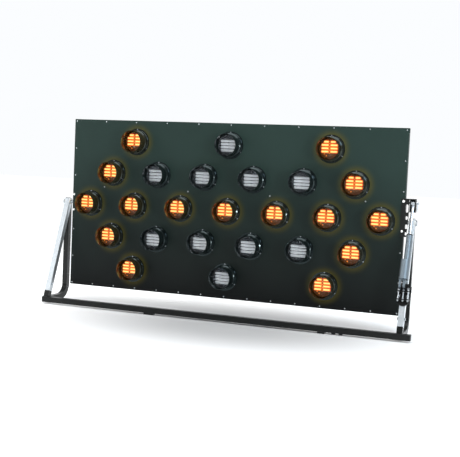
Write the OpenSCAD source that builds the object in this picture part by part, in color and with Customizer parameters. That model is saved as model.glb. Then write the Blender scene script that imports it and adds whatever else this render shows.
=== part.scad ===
// Vehicle-mount arrow board: a lamp panel that tips between two side frames on one base rail.
// Millimetres, +Z up. Origin: half-way between the two mounting bolt holes, on the feet's
// undersides. +X is the panel's right hand as seen from the front, and the lamps face -Y.
// The modules work from the middle of the rail's underside; the last block moves them.

/* [Panel] */
// Width of the lamp panel
panel_w = 2438; // [2400:1:3000]
// Height of the lamp panel
panel_h = 1219; // [1130:1:1300]
// Thickness of the face sheet
sheet_t = 2.5; // [2:0.5:4]
// Depth of the frame channels behind the face sheet
channel_d = 38; // [34:1:50]
// Width of the frame channels' flanges
channel_w = 30; // [26:1:34]
// Wall of the frame channels
channel_t = 3; // [2:0.5:4]
// Height of the cross brace above the panel's middle
brace_z = 123; // [118:1:128]
// Width of the cross brace
brace_w = 40; // [30:1:44]
// Width of the uprights that stand between lamp columns
upright_w = 18; // [12:1:20]
// Distance between neighbouring rivets along the top edge, at most
rivet_pitch_top = 245; // [150:5:300]
// Distance between neighbouring rivets along the bottom edge, at most
rivet_pitch_bottom = 175; // [120:5:300]
// Distance between neighbouring rivets up the side edges, at most
rivet_pitch_side = 200; // [150:5:300]

/* [Lamps] */
// Sideways step between lamp columns
lamp_step_x = 177.8; // [177:0.1:185]
// Height between lamp rows
lamp_step_z = 228.6; // [226:0.1:235]
// Radius of the round hole in the face sheet behind each lamp
hole_r = 77; // [75:0.5:78]
// Radius of the hood's barrel, outside
hood_r = 76.5; // [72:0.5:78]
// Radius of the hood's collar, outside
collar_r = 84; // [83:0.5:86]
// Height of the hood's collar
collar_h = 28; // [24:1:40]
// Radius of the hood's flange
hood_flange_r = 95; // [92:0.5:96]
// Length of the hood in front of the face sheet
hood_len = 108; // [90:1:130]
// Wall of the hood
hood_t = 2; // [1.5:0.5:3]
// Depth of the lamp's rear cup behind the face
cup_depth = 42; // [30:1:60]
// Bulge of the lens at its middle
lens_bulge = 13; // [6:1:20]
// Height of the lens's straight skirt
lens_skirt = 20; // [10:1:26]

/* [Side frames] */
// Side of the square leg tube
tube = 38; // [32:1:42]
// Wall of the leg tube
tube_t = 2.5; // [2:0.5:4]
// Gap between the panel's edge and each side frame
frame_gap = 30; // [28:1:60]
// Height of the pivot above the rail's underside
pivot_h = 718; // [690:1:800]
// Distance of the pivot behind the rail's middle
pivot_back = 272; // [240:1:320]
// Distance of the front leg's foot behind the rail's middle
foot_back = 8; // [0:1:12]
// Centreline radius of the bend in the rear leg
bend_r = 90; // [60:1:120]
// Radius of the pivot shaft
shaft_r = 12; // [10:0.5:13]
// Distance of the pivot behind the panel's front face
pivot_in = 20; // [16:0.5:24]

/* [Base rail] */
// Side of the square base rail
rail = 38; // [34:1:60]
// Wall of the base rail
rail_t = 3; // [2:0.5:5]
// How far the rail runs past the right side frame
rail_over = 50; // [0:1:120]
// Position of the left mounting foot along the rail
foot_left_x = -447; // [-700:1:-300]
// Distance between the two mounting feet
foot_span = 1219; // [1000:1:1300]
// Radius of the vertical mounting bolt holes
foot_hole_r = 6.75; // [4.5:0.25:9]
// Thickness of the mounting feet
foot_t = 12; // [6:1:25]

/* [Actuator] */
// Radius of the chromed rod
rod_r = 10; // [8:0.5:11]
// Radius of the outer tube
body_r = 19; // [17:0.5:20]
// Radius of the gear motor's can
motor_r = 29; // [27:0.5:31]
// Length of the gear motor's can
motor_len = 112; // [100:1:125]
// Sideways offset of the gear motor from the rod's axis
motor_off = 8; // [4:0.5:8]
// Radius of the pins at both ends
pin_r = 6; // [5:0.5:7]
// Distance of the base pin in front of the leg's middle line
act_off = 57; // [54:1:70]
// Distance of the base pin down the leg from the pivot
base_down = 433; // [420:1:460]
// Height of the rod-end pin above the pivot
lever_up = 128; // [120:1:140]
// Distance of the rod-end pin in front of the pivot
lever_fwd = 4; // [2:1:6]

/* [Hidden] */
$fn = 64;

// Lamp columns in each row, top row first, counted in steps from the middle.
LAMP_ROWS = [[-4, 0, 4], [-5, -3, -1, 1, 3, 5], [-6, -4, -2, 0, 2, 4, 6],
    [-5, -3, -1, 1, 3, 5], [-4, 0, 4]];
AMBER = [0.96, 0.62, 0.12];
BLACK = [0.11, 0.13, 0.13];
DARK_GREEN = [0.14, 0.19, 0.18];
ZINC = [0.74, 0.77, 0.8];

touch = 0.05;               // running clearance of the pins and shafts
frame_x = panel_w / 2 + frame_gap + tube / 2;
leg_lean = atan((pivot_back - foot_back) / (pivot_h - rail / 2));
leg_top = 22;               // how far the front leg runs past the pivot
socket_h = 40;
leg_joint = (pivot_h - rail) / cos(leg_lean) - socket_h;
spigot = tube - 2 * tube_t;
spigot_len = 80;
leg_bolt_r = 5;
leg_bolt_down = leg_joint - 52;
bush_wall = 3;
bush_flange = 2;
shaft_out = 13;             // how far the shaft runs past the leg
face_y = pivot_back - pivot_in;
back_y = sheet_t + channel_d;

base_y = pivot_back - base_down * sin(leg_lean) - act_off * cos(leg_lean);
base_z = pivot_h - base_down * cos(leg_lean) + act_off * sin(leg_lean);
tip_y = pivot_back - lever_fwd;
tip_z = pivot_h + lever_up;
act_len = norm([tip_y - base_y, tip_z - base_z]);
act_lean = atan2(tip_y - base_y, tip_z - base_z);
// Where the rod-end pin comes to once the panel lies flat, which sets the stroke.
flat_y = pivot_back - lever_up;
flat_z = pivot_h - lever_fwd;
stroke = act_len - norm([flat_y - base_y, flat_z - base_z]);

fork_len = 40;
fork_w = 40;
tongue_t = 11;
fork_side = 0.7;            // side clearance between the fork and the tongue
fork_off = 11;
cap_len = 16;
motor_from = fork_len + cap_len;
tube_from = motor_from + 4;
wiper_h = 8;
rod_cover = 40;             // length of rod that stays in the tube when it is out
tube_to = motor_from + motor_len + stroke;
rod_from = tube_to - rod_cover;
eye_r = 16;
eye_w = 24;
ear_t = 6;
ear_gap = 1;
roller_r = 9.5;
rod_in_eye = 5;             // how deep the rod is screwed into its eye
slot_half = 17;             // half the width of the lever's slot
slot_run = 33;              // how far the rod-end pin travels down the slot
slot_shift = 1;             // how far the slot's middle line lies behind the pin
clip_out = 12;              // where the hairpin clip sits past the outer ear
clip_wire = 1.5;

cup_r = hole_r - 3;
rim_r = collar_r - hood_t - 1.5;
rim_h = 24;
gasket_h = collar_h - hood_t - rim_h;
lens_r = hood_r - hood_t - 1;
lens_t = 3;
lens_top = rim_h + lens_skirt + lens_t + lens_bulge;
skirt_in = (lens_r - lens_t) * (1 - lens_t / lens_r);
cup_t = 2;
board_r = skirt_in - 0.5;
board_h = rim_h + lens_skirt - 6;
board_t = 2;
post_r = 22;
bar_h = 5;                  // how far the light bars stand up from their board
bar_half = 6;               // half the width of a light bar
bar_from = 4;               // where the bars start on each side of the middle
bar_len = 49;
bar_edge = 2;               // rim of bare board left outside the bars' corners
screw_circle = (collar_r + hood_flange_r) / 2 + 0.5;

function span(n) = [for (i = [0 : n]) 2 * i / n - 1];
function is_amber(c, r) = r == 0 || (abs(r) == 2 && abs(c) == 4) || (abs(r) == 1 && abs(c) == 5);

// ---- places -------------------------------------------------------------------------
module on_panel() { translate([0, face_y, pivot_h]) children(); }

// Local +Z runs up the front leg's middle line from the pivot, and -Y is its front.
module on_leg(side) {
    translate([side * frame_x, pivot_back, pivot_h]) rotate([-leg_lean, 0, 0]) children();
}

// Local +Z runs up the actuator from its base pin, and -Y is its front.
module on_actuator() {
    translate([frame_x, base_y, base_z]) rotate([-act_lean, 0, 0]) children();
}

// Local +Z points out of the lamp, towards the traffic.
module at_lamps(rows, want) {
    for (k = rows, c = LAMP_ROWS[k])
        if (want == "any" || (want == "amber") == is_amber(c, 2 - k))
            translate([c * lamp_step_x, 0, (2 - k) * lamp_step_z]) rotate([90, 0, 0]) children();
}

module along_x(r, len) { rotate([0, 90, 0]) cylinder(r = r, h = len, center = true); }

module hex_x(across, len) {
    rotate([0, 90, 0]) cylinder(d = across / cos(30), h = len, center = true, $fn = 6);
}

module ring(r_out, r_in, h) {
    difference() {
        cylinder(r = r_out, h = h);
        translate([0, 0, -1]) cylinder(r = r_in, h = h + 2);
    }
}

module box_tube(side, wall, len) {
    difference() {
        translate([-side / 2, -side / 2, 0]) cube([side, side, len]);
        translate([-side / 2 + wall, -side / 2 + wall, -1])
            cube([side - 2 * wall, side - 2 * wall, len + 2]);
    }
}

// A slot with round ends, cut along X: half width r, running down from the top centre.
module slot_x(r, run, len) {
    along_x(r, len);
    translate([0, 0, -run]) along_x(r, len);
    translate([-len / 2, -r, -run]) cube([len, 2 * r, run]);
}

// An upright oval cut along Y.
module oval_y(w, h, len) {
    for (s = [-1, 1])
        translate([0, 0, s * (h - w) / 2]) rotate([90, 0, 0]) cylinder(d = w, h = len, center = true);
    translate([-w / 2, -len / 2, -(h - w) / 2]) cube([w, len, h - w]);
}

// ---- base rail ------------------------------------------------------------------------
rail_left = -frame_x - tube / 2;
rail_right = frame_x + tube / 2 + rail_over;
cap_t = 3;
cap_plug = 18;
FOOT_X = [foot_left_x, foot_left_x + foot_span];
FOOT_W = [70, 48];
RAIL_BOLT_X = [FOOT_X[1] + 78, FOOT_X[1] + 126];
rail_bolt_r = 8;
rail_bolt_head = 10;

module base_rail() color(BLACK) difference() {
    translate([rail_left, 0, rail / 2]) rotate([0, 90, 0])
        box_tube(rail, rail_t, rail_right - rail_left);
    for (x = FOOT_X) translate([x, 0, -1]) cylinder(r = foot_hole_r, h = rail + 2);
    for (x = RAIL_BOLT_X) translate([x, 0, -1]) cylinder(r = rail_bolt_r, h = rail_t + 2);
}

module rail_end_caps() color(BLACK) {
    for (end = [[rail_left, 1], [rail_right, -1]]) translate([end[0], 0, rail / 2]) {
        plug = rail - 2 * rail_t;
        translate([-end[1] * cap_t / 2, 0, 0]) cube([cap_t, rail, rail], center = true);
        translate([end[1] * cap_plug / 2, 0, 0]) cube([cap_plug, plug, plug], center = true);
    }
}

module mounting_feet() color(BLACK) {
    for (i = [0, 1]) translate([FOOT_X[i], 0, -foot_t]) difference() {
        translate([-FOOT_W[i] / 2, -rail / 2, 0]) cube([FOOT_W[i], rail, foot_t]);
        translate([0, 0, -1]) cylinder(r = foot_hole_r, h = foot_t + 2);
    }
}

module rail_bolts() color(BLACK) {
    for (x = RAIL_BOLT_X) translate([x, 0, 0]) {
        translate([0, 0, -rail_bolt_head]) cylinder(d = 24 / cos(30), h = rail_bolt_head, $fn = 6);
        cylinder(r = rail_bolt_r, h = rail - rail_t - 8);
    }
}

// ---- side frames ----------------------------------------------------------------------
module front_leg(side) color(ZINC) on_leg(side) difference() {
    translate([0, 0, -leg_joint]) box_tube(tube, tube_t, leg_joint + leg_top);
    along_x(shaft_r + touch + bush_wall, tube + 2);
    translate([0, 0, -leg_bolt_down]) along_x(leg_bolt_r, tube + 2);
}

module leg_envelope(side) on_leg(side)
    translate([-tube / 2 - 1, -tube / 2 - tube, -leg_joint])
        cube([tube + 2, 2 * tube, leg_joint + 2 * leg_top]);

module rear_leg(side) color(BLACK) difference() {
    translate([side * frame_x, 0, 0]) union() {
        translate([0, pivot_back, rail / 2 + bend_r])
            box_tube(tube, tube_t, pivot_h - rail / 2 - bend_r);
        translate([0, pivot_back - bend_r, rail / 2 + bend_r]) rotate([0, 0, 90])
            rotate([90, 0, 0]) rotate([0, 0, -90]) rotate_extrude(angle = 90)
                translate([bend_r, 0]) difference() {
                    square(tube, center = true);
                    square(spigot, center = true);
                }
        translate([0, rail / 2, rail / 2]) rotate([-90, 0, 0])
            box_tube(tube, tube_t, pivot_back - bend_r - rail / 2);
    }
    leg_envelope(side);
}

module foot_socket(side) color(BLACK) difference() {
    on_leg(side) {
        translate([-tube / 2, -tube / 2, -leg_joint - 2 * socket_h])
            cube([tube, tube, 2 * socket_h]);
        difference() {
            translate([-spigot / 2, -spigot / 2, -leg_joint]) cube([spigot, spigot, spigot_len]);
            translate([0, 0, -leg_bolt_down]) along_x(leg_bolt_r, tube);
        }
    }
    translate([side * frame_x - tube, -3 * tube, -tube]) cube([2 * tube, 6 * tube, tube + rail]);
}

module leg_top_caps() color(BLACK) {
    plug_h = leg_top - shaft_r - bush_wall - 1;
    for (side = [-1, 1]) on_leg(side) {
        translate([-tube / 2, -tube / 2, leg_top]) cube([tube, tube, cap_t]);
        translate([-spigot / 2, -spigot / 2, leg_top - plug_h]) cube([spigot, spigot, plug_h]);
    }
}

module leg_bolts() color(ZINC) {
    head = 7;
    for (side = [-1, 1]) on_leg(side) translate([0, 0, -leg_bolt_down]) {
        along_x(leg_bolt_r, tube);
        for (s = [-1, 1]) translate([s * (tube + head) / 2, 0, 0]) hex_x(17, head);
    }
}

module pivot_bushes() color([0.86, 0.84, 0.76]) {
    inner = shaft_r + touch;
    for (side = [-1, 1]) translate([side * frame_x, pivot_back, pivot_h]) difference() {
        union() {
            along_x(inner + bush_wall, tube);
            for (s = [-1, 1]) translate([s * (tube + bush_flange) / 2, 0, 0])
                along_x(inner + bush_wall + 4, bush_flange);
        }
        along_x(inner, tube + 4 * bush_flange);
    }
}

// ---- clamp that carries the actuator on the right front leg ---------------------------
clamp_w = 80;
plate_low = -84;            // where the bracket's plate turns into its round end
nose_w = 8;
clamp_t = 6;
shelf_t = 6;
shelf_out = 22;
SHELF_Z = [-36, -88];
STUD_X = [-31, 0, 31];
stud_y = -tube / 2 - clamp_t - 13;
stud_r = 4;
stud_len = 80;
clamp_bolt_x = tube / 2 + 9;
CLAMP_BOLT_Z = [-14, -62];
clamp_bolt_r = 5;
tongue_x = -fork_off;

module at_clamp() { on_leg(1) translate([0, 0, -base_down]) children(); }

module leg_clamp_bracket() color(BLACK) at_clamp() difference() {
    front = -tube / 2;
    union() {
        translate([-clamp_w / 2, front - clamp_t, plate_low])
            cube([clamp_w, clamp_t, 20 - plate_low]);
        translate([0, front, plate_low]) rotate([90, 0, 0])
            cylinder(r = clamp_w / 2, h = clamp_t);
        for (z = SHELF_Z) translate([-clamp_w / 2, front - clamp_t - shelf_out, z])
            cube([clamp_w, shelf_out, shelf_t]);
        translate([clamp_w / 2, front - clamp_t, -20]) rotate([90, 0, 90])
            linear_extrude(nose_w)
                polygon([[-shelf_out, 0], [clamp_t, -18], [clamp_t, 22], [-8, 22]]);
        translate([tongue_x - tongue_t / 2, -act_off, -14])
            cube([tongue_t, act_off - tube / 2 - clamp_t, 28]);
        translate([tongue_x, -act_off, 0]) along_x(14, tongue_t);
    }
    translate([tongue_x, -act_off, 0]) along_x(pin_r + touch, 2 * tongue_t);
    for (x = STUD_X) translate([x, stud_y, SHELF_Z[1] - 1])
        cylinder(r = stud_r, h = stud_len - 10);
    for (s = [-1, 1], z = CLAMP_BOLT_Z) translate([s * clamp_bolt_x, front + 1, z])
        rotate([90, 0, 0]) cylinder(r = clamp_bolt_r, h = clamp_t + 2);
}

module leg_clamp_strap() color(BLACK) at_clamp() difference() {
    translate([-clamp_w / 2, tube / 2, -74]) cube([clamp_w, clamp_t, 74]);
    for (s = [-1, 1], z = CLAMP_BOLT_Z) translate([s * clamp_bolt_x, tube / 2 + clamp_t + 1, z])
        rotate([90, 0, 0]) cylinder(r = clamp_bolt_r, h = clamp_t + 2);
}

// Heads in front, nuts and the threads' ends behind the leg.
module leg_clamp_bolts() color(ZINC) at_clamp() {
    grip = tube + 2 * clamp_t;
    hex = 17 / cos(30);
    head = 7;
    nut = 8;
    for (s = [-1, 1], z = CLAMP_BOLT_Z) translate([s * clamp_bolt_x, -grip / 2, z])
        rotate([-90, 0, 0]) {
            translate([0, 0, -head]) cylinder(d = hex, h = head, $fn = 6);
            translate([0, 0, grip]) cylinder(d = hex, h = nut, $fn = 6);
            cylinder(r = clamp_bolt_r, h = grip + nut + 3);
        }
}

// Bright threaded studs that tie the two shelves, with a nut on each side of each shelf.
module clamp_studs() color(ZINC) at_clamp() {
    nut = 6;
    for (x = STUD_X) translate([x, stud_y, 0]) {
        translate([0, 0, SHELF_Z[1] - nut - 5]) cylinder(r = stud_r, h = stud_len);
        for (z = SHELF_Z, up = [-nut, shelf_t]) translate([0, 0, z + up])
            cylinder(d = 13 / cos(30), h = nut, $fn = 6);
    }
}

module base_pin() color(ZINC) at_clamp() translate([tongue_x, -act_off, 0]) {
    along_x(pin_r, fork_w + 6);
    for (s = [-1, 1]) translate([s * (fork_w / 2 + 3), 0, 0]) along_x(pin_r + 4, 4);
}

// ---- lamp panel -----------------------------------------------------------------------
module channel_section() {
    polygon([[0, 0], [channel_d, 0], [channel_d, -channel_w], [channel_d - channel_t, -channel_w],
        [channel_d - channel_t, -channel_t], [channel_t, -channel_t], [channel_t, -channel_w],
        [0, -channel_w]]);
}

// Open towards -Z, running along X.
module channel_bar(len) {
    rotate([90, 0, 90]) linear_extrude(len, center = true) channel_section();
}

module face_sheet() color(DARK_GREEN) on_panel() difference() {
    translate([-panel_w / 2, 0, -panel_h / 2]) cube([panel_w, sheet_t, panel_h]);
    at_lamps([0 : 4], "any") {
        translate([0, 0, -sheet_t - 1]) cylinder(r = hole_r, h = sheet_t + 2);
        for (a = [90, 210, 330]) rotate(a) translate([screw_circle, 0, -sheet_t - 1])
            cylinder(r = 2, h = sheet_t + 2, $fn = 24);
    }
    for (b = BOLT_POINTS) translate([b[0], sheet_t + 1, b[1]]) rotate([90, 0, 0])
        cylinder(r = bolt_r, h = sheet_t + 2, $fn = 24);
}

module top_channel() color(DARK_GREEN) on_panel()
    translate([0, sheet_t, panel_h / 2]) channel_bar(panel_w);

module bottom_channel() color(DARK_GREEN) on_panel()
    translate([0, sheet_t, -panel_h / 2]) mirror([0, 0, 1]) channel_bar(panel_w);

// Pivot and lever bolts: on the left both sit about the pivot, on the right one is higher.
bolt_r = 4;
edge_in = 10;
PIVOT_BOLT_Z = [[-56, 56], [-56, 138]];
BOLT_POINTS = [for (k = [0, 1], z = PIVOT_BOLT_Z[k]) [(2 * k - 1) * (panel_w / 2 - edge_in), z]];
plate_t = 12;

// The same section stood upright between the top and bottom channels, its web outwards.
module side_channel(side) color(DARK_GREEN) on_panel() difference() {
    translate([side * panel_w / 2, sheet_t, 0]) mirror([side > 0 ? 0 : 1, 0, 0])
        linear_extrude(panel_h - 2 * channel_w, center = true) mirror([1, -1]) channel_section();
    translate([side * panel_w / 2, pivot_in, 0]) along_x(shaft_r, 4 * channel_t);
    for (b = BOLT_POINTS) translate([b[0], sheet_t + channel_t + 1, b[1]]) rotate([90, 0, 0])
        cylinder(r = bolt_r, h = channel_t + 2, $fn = 24);
}

module cross_brace() color(DARK_GREEN) on_panel()
    translate([0, sheet_t + channel_d / 2, brace_z]) rotate([0, 90, 0]) difference() {
        cube([brace_w, channel_d, panel_w - 2 * channel_w], center = true);
        cube([brace_w - 2 * channel_t, channel_d - 2 * channel_t, panel_w], center = true);
    }

module uprights() color(DARK_GREEN) on_panel() {
    low = -panel_h / 2 + channel_w;
    high = panel_h / 2 - channel_w;
    for (c = [-2.5, 2.5], seg = [[low, brace_z - brace_w / 2], [brace_z + brace_w / 2, high]])
        translate([c * lamp_step_x - upright_w / 2, sheet_t, seg[0]])
            difference() {
                cube([upright_w, channel_d, seg[1] - seg[0]]);
                translate([channel_t, channel_t, -1])
                    cube([upright_w - 2 * channel_t, channel_d - 2 * channel_t, panel_h]);
            }
}

// Domed rivet heads along the edges, and four that hold the cross brace.
module edge_rivets() color([0.85, 0.86, 0.86]) on_panel() {
    inset = 14;
    x = panel_w / 2 - inset;
    z = panel_h / 2 - inset;
    // An even number of spaces, so that a rivet or the pivot falls on the middle.
    top = [for (u = span(2 * ceil(x / rivet_pitch_top))) [u * x, z]];
    bottom = [for (u = span(2 * ceil(x / rivet_pitch_bottom))) [u * x, -z]];
    sides = [for (s = [-1, 1], u = span(2 * ceil(z / rivet_pitch_side)))
        if (abs(u) > 0.2 && abs(u) < 0.99) [s * x, u * z]];
    brace = [for (c = [-5.4, -1.7, 1.7, 5.4]) [c * lamp_step_x, brace_z]];
    for (p = concat(top, bottom, sides, brace)) translate([p[0], 0, p[1]]) rotate([90, 0, 0])
        cylinder(r1 = 4.5, r2 = 2.5, h = 2, $fn = 24);
}

// A tapped plate inside each side channel, with the stub shaft that the panel turns on.
module pivot_shafts() color(ZINC) on_panel() {
    shaft_len = plate_t + channel_t + frame_gap + tube + shaft_out;
    for (k = [0, 1]) let (side = 2 * k - 1, low = PIVOT_BOLT_Z[k][0] - 22,
            high = PIVOT_BOLT_Z[k][1] + 22, inner = panel_w / 2 - channel_t - plate_t)
        difference() {
            union() {
                translate([side * (inner + plate_t / 2), sheet_t + channel_d / 2, (low + high) / 2])
                    cube([plate_t, channel_d - 2 * channel_t, high - low], center = true);
                translate([side * (inner + shaft_len / 2), pivot_in, 0])
                    along_x(shaft_r, shaft_len);
            }
            for (b = BOLT_POINTS) translate([b[0], bolt_tip, b[1]]) rotate([90, 0, 0])
                cylinder(r = bolt_r, h = bolt_tip, $fn = 24);
        }
}

bolt_tip = sheet_t + channel_t + 16;

module pivot_nuts() color(ZINC) on_panel() {
    start = frame_x + tube / 2 + bush_flange;
    for (side = [-1, 1]) translate([side * start, pivot_in, 0]) difference() {
        union() {
            translate([side * 1.75, 0, 0]) along_x(20, 2.5);
            translate([side * 7, 0, 0]) hex_x(34, 8);
        }
        along_x(shaft_r, 60);
    }
}

module cap_bolt(seat) {
    translate([0, 0, seat]) cylinder(r = 8, h = 3);
    translate([0, 0, seat + 3]) cylinder(r1 = 8, r2 = 5, h = 3);
    translate([0, 0, -bolt_tip]) cylinder(r = bolt_r, h = bolt_tip + seat, $fn = 24);
}

module pivot_bolts() color([0.93, 0.93, 0.92]) on_panel()
    for (b = BOLT_POINTS) if (b[0] < 0) translate([b[0], 0, b[1]]) rotate([90, 0, 0]) cap_bolt(0);

module lever_bolts() color([0.93, 0.93, 0.92]) on_panel()
    for (b = BOLT_POINTS) if (b[0] > 0) translate([b[0], 0, b[1]]) rotate([90, 0, 0])
        cap_bolt(flange_t);

// ---- lever that the actuator pushes ---------------------------------------------------
flange_t = 5;
lever_low = -92;
lever_top = lever_up + 28;
edge_x = panel_w / 2;
slot_y = pivot_in - lever_fwd + slot_shift;
ear_low = lever_up - slot_run - slot_half - 9;
ear_front = slot_y - slot_half - 8;
ear_back = slot_y + slot_half + 10;
ears_w = eye_w + 2 * ear_gap + 2 * ear_t;
flange_in = 22;             // how far the lever's front flange lies on the panel
// Windows in the front flange: middle height, width and height of each.
WINDOWS = [[93, 18, 52], [32, 17, 23], [-25, 15, 29], [-71, 13, 21]];

module lever_bracket() color(BLACK) on_panel() difference() {
    union() {
        rotate([90, 0, 0]) linear_extrude(flange_t)
            polygon([[edge_x - flange_in, lever_low], [edge_x + 19, lever_low],
                [edge_x + frame_gap - 3, 40], [edge_x + frame_gap - 3, lever_top],
                [edge_x - flange_in, lever_top]]);
        translate([edge_x, -flange_t, lever_low]) cube([4, back_y + flange_t, lever_top - lever_low]);
        translate([edge_x, ear_front, lever_top - flange_t])
            cube([frame_x + ears_w / 2 - edge_x, ear_back - ear_front, flange_t]);
        for (s = [-1, 1])
            translate([frame_x + s * (ears_w - ear_t) / 2 - ear_t / 2, ear_front, ear_low])
                cube([ear_t, ear_back - ear_front, lever_top - ear_low]);
        translate([frame_x - ears_w / 2, ear_back - flange_t, ear_low])
            cube([ears_w, flange_t, lever_top - ear_low]);
    }
    translate([frame_x, slot_y, lever_up]) slot_x(slot_half, slot_run, ears_w + 2);
    translate([edge_x, pivot_in, 0]) along_x(shaft_r, 40);
    for (w = WINDOWS) translate([edge_x + 14, 0, w[0]]) oval_y(w[1], w[2], 4 * flange_t);
    for (b = BOLT_POINTS) translate([b[0], 1, b[1]]) rotate([90, 0, 0])
        cylinder(r = bolt_r, h = flange_t + 2, $fn = 24);
}

// ---- lamps ----------------------------------------------------------------------------
module hood() {
    difference() {
        rotate_extrude() polygon([
            [collar_r - hood_t, 0], [hood_flange_r, 0], [hood_flange_r, hood_t],
            [collar_r + 2, hood_t], [collar_r, hood_t + 2], [collar_r, collar_h],
            [hood_r, collar_h + 5], [hood_r, hood_len], [hood_r - hood_t, hood_len],
            [hood_r - hood_t, collar_h - hood_t], [collar_r - hood_t, collar_h - hood_t]]);
        for (a = [90, 210, 330]) rotate(a) translate([screw_circle, 0, -1])
            cylinder(r = 2, h = hood_t + 2, $fn = 24);
    }
}

module hoods(row) { color(BLACK) on_panel() at_lamps([row], "any") hood(); }
module hoods_row_1() { hoods(0); }
module hoods_row_2() { hoods(1); }
module hoods_row_3() { hoods(2); }
module hoods_row_4() { hoods(3); }
module hoods_row_5() { hoods(4); }

module hood_screws() color(ZINC) on_panel() at_lamps([0 : 4], "any")
    for (a = [90, 210, 330]) rotate(a) translate([screw_circle, 0, 0]) {
        translate([0, 0, -sheet_t]) cylinder(r = 2, h = sheet_t + hood_t, $fn = 24);
        translate([0, 0, hood_t]) cylinder(r1 = 4, r2 = 3, h = 2, $fn = 24);
    }

module lamp_gaskets() color([0.06, 0.06, 0.06]) on_panel() at_lamps([0 : 4], "any")
    translate([0, 0, rim_h]) ring(rim_r, lens_r + 0.5, gasket_h);

module lamp_cups() color(BLACK) on_panel() at_lamps([0 : 4], "any") rotate_extrude() polygon([
    [0, -cup_depth], [cup_r * 0.7, -cup_depth], [cup_r * 0.9, -cup_depth + 12], [cup_r, -4],
    [cup_r, 0], [rim_r, 0], [rim_r, rim_h], [cup_r - cup_t, rim_h], [cup_r - cup_t, -4],
    [cup_r * 0.9 - cup_t, -cup_depth + 13], [cup_r * 0.7 - 1, -cup_depth + cup_t],
    [0, -cup_depth + cup_t]]);

module lamp_plugs() color(BLACK) on_panel() at_lamps([0 : 4], "any")
    translate([0, 0, -cup_depth - 10]) {
        cylinder(r = 9, h = 10, $fn = 32);
        translate([0, 0, -6]) cylinder(r = 4, h = 6, $fn = 24);
    }

// Two columns of four light bars on a round board, which a post holds off the cup's floor.
BAR_Z = [46, 25, 3, -18];
function bar_w(z) = min(bar_len,
    sqrt(pow(board_r, 2) - pow(abs(z) + bar_half, 2)) - bar_from - bar_edge);
module led_board() {
    translate([0, 0, board_h]) cylinder(r = board_r, h = board_t);
    translate([0, 0, -cup_depth + cup_t]) cylinder(r = post_r, h = cup_depth - cup_t + board_h);
    for (z = BAR_Z, s = [-1, 1])
        translate([s * (bar_w(z) / 2 + bar_from) - bar_w(z) / 2, z - bar_half, board_h + board_t])
            cube([bar_w(z), 2 * bar_half, bar_h]);
}

module amber_led_boards() color(AMBER) on_panel() at_lamps([0 : 4], "amber") led_board();
module clear_led_boards() color([0.8, 0.82, 0.85]) on_panel() at_lamps([0 : 4], "clear") led_board();

// A cap: a straight skirt, then a low dome of constant wall.
module lens() {
    sphere_r = (lens_r * lens_r + lens_bulge * lens_bulge) / (2 * lens_bulge);
    edge = asin((lens_r - lens_t) / sphere_r);
    outer = [for (i = [0 : 12]) let (a = edge * i / 12)
        [sphere_r * sin(a), lens_top - sphere_r * (1 - cos(a))]];
    inner = [for (i = [12 : -1 : 0]) [outer[i][0] * (1 - lens_t / lens_r), outer[i][1] - lens_t]];
    rotate_extrude() polygon(concat(outer, [[lens_r, rim_h + lens_skirt + lens_t],
        [lens_r, rim_h], [skirt_in, rim_h]], inner));
}

module amber_lenses() color(AMBER, 0.6) on_panel() at_lamps([0 : 4], "amber") lens();
module clear_lenses() color([0.85, 0.9, 0.95], 0.5) on_panel() at_lamps([0 : 4], "clear") lens();

// ---- wiring and flasher box behind the panel ------------------------------------------
duct_w = 36;
duct_d = 18;
box_w = 300;
box_h = 180;
box_d = 90;
box_t = 3;
strap_t = 4;
strap_h = 30;
box_z = -1.5 * lamp_step_z;
STRAP_Z = [box_z - 42, box_z + 42];

module cable_ducts() color([0.16, 0.17, 0.17]) on_panel() {
    duct_z = -lamp_step_z / 2;
    run = 6.3 * lamp_step_x;
    translate([-run, back_y, duct_z - duct_w / 2]) cube([2 * run, duct_d, duct_w]);
    top = duct_z - duct_w / 2;
    bottom = box_z + box_h / 2;
    translate([-duct_w / 2, back_y, bottom]) cube([duct_w, duct_d, top - bottom]);
}

module box_straps() color(DARK_GREEN) on_panel()
    for (z = STRAP_Z) translate([-2.5 * lamp_step_x - upright_w / 2, back_y, z - strap_h / 2])
        cube([5 * lamp_step_x + upright_w, strap_t, strap_h]);

module control_box() color([0.2, 0.22, 0.22]) on_panel()
    translate([-box_w / 2, back_y + strap_t, box_z - box_h / 2]) difference() {
        cube([box_w, box_d, box_h]);
        translate([box_t, box_t, box_t])
            cube([box_w - 2 * box_t, box_d, box_h - 2 * box_t]);
        translate([box_w / 2 + 70, box_d / 2, -1]) cylinder(r = gland_r, h = box_t + 2);
    }

module control_lid() color([0.2, 0.22, 0.22]) on_panel()
    translate([-box_w / 2 - 4, back_y + strap_t + box_d, box_z - box_h / 2 - 4])
        cube([box_w + 8, box_t, box_h + 8]);

module lid_screws() color(ZINC) on_panel()
    for (x = [-1, 1], z = [-1, 1])
        translate([x * (box_w / 2 - 12), back_y + strap_t + box_d + box_t, box_z + z * (box_h / 2 - 12)])
            rotate([-90, 0, 0]) cylinder(r1 = 5, r2 = 3.5, h = 3, $fn = 24);

gland_r = 10;
module cable_gland() color(BLACK) on_panel()
    translate([70, back_y + strap_t + box_d / 2, box_z - box_h / 2]) {
        translate([0, 0, -10]) cylinder(r = 15, h = 10, $fn = 6);
        translate([0, 0, -26]) difference() {
            cylinder(r1 = 9, r2 = 13, h = 16);
            translate([0, 0, -1]) cylinder(r = 5, h = 12);
        }
        cylinder(r = gland_r, h = box_t + 8);
    }

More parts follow.
